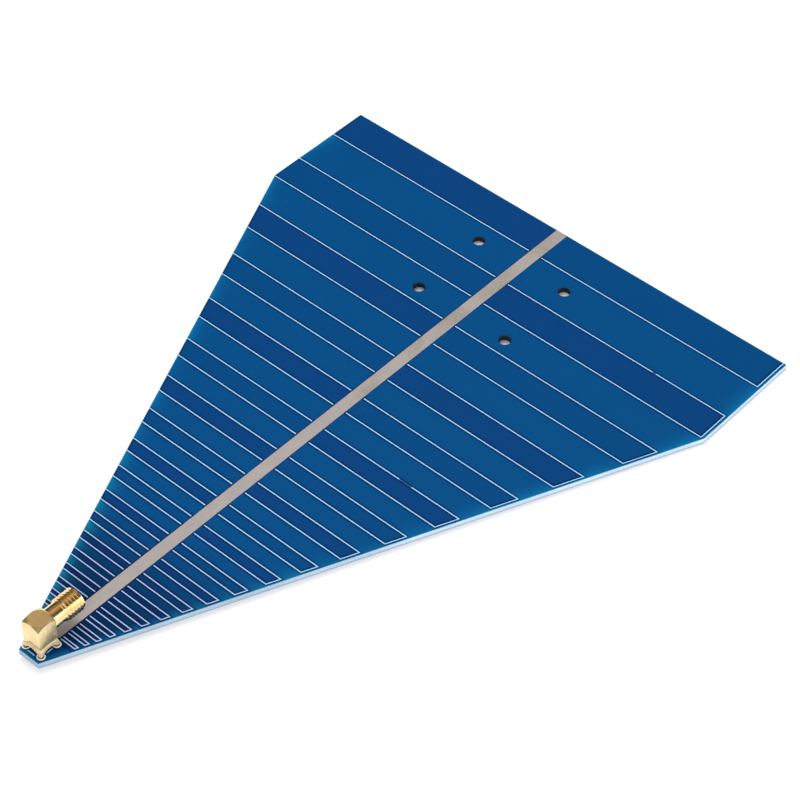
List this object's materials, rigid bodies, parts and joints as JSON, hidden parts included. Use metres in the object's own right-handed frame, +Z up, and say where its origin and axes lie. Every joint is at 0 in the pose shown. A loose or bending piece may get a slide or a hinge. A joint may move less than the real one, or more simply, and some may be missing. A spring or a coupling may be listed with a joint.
{
  "type": "log-periodic circuit-board antenna",
  "caption": "Flat tapering printed log-periodic dipole antenna on blue circuit board, with a right-angle threaded coaxial jack at its narrow tip and bracket holes near its wide end.",
  "frame": {"origin": "centre of the four bracket holes, on the underside of the laminate", "axes": "+Z up out of the component side, +Y along the boom towards the wide back edge, -Y towards the narrow tip and the beam, +X to the right when seen from above with the wide end up"},
  "size_m": [0.15, 0.2, 0.0128],
  "materials": {
    "laminate": "glass-epoxy laminate, pale routed edge",
    "copper": "rolled copper foil under the mask",
    "solder_mask": "glossy blue solder mask",
    "legend": "white printed ink",
    "tinning": "matte tinned copper",
    "plated_pads": "bright solder-wetted plating",
    "gold_plate": "satin gold plate on brass",
    "insulator": "white fluoropolymer",
    "contact_gold": "polished gold plate",
    "solder": "bright solder"
  },
  "bodies": {
    "root": {"laminate": "laminate", "top_copper": "copper", "bottom_copper": "copper", "top_mask": "solder_mask", "bottom_mask": "solder_mask", "top_legend": "legend", "top_boom_tinning": "tinning", "bottom_boom_tinning": "tinning", "leg_pads": "plated_pads", "centre_pad": "plated_pads", "connector_body": "gold_plate", "connector_barrel": "gold_plate", "barrel_insulator": "insulator", "centre_contact": "contact_gold", "pin_insulator": "insulator", "centre_pin": "contact_gold", "leg_joints": "solder", "pin_joint": "solder"}
  },
  "joints": []
}
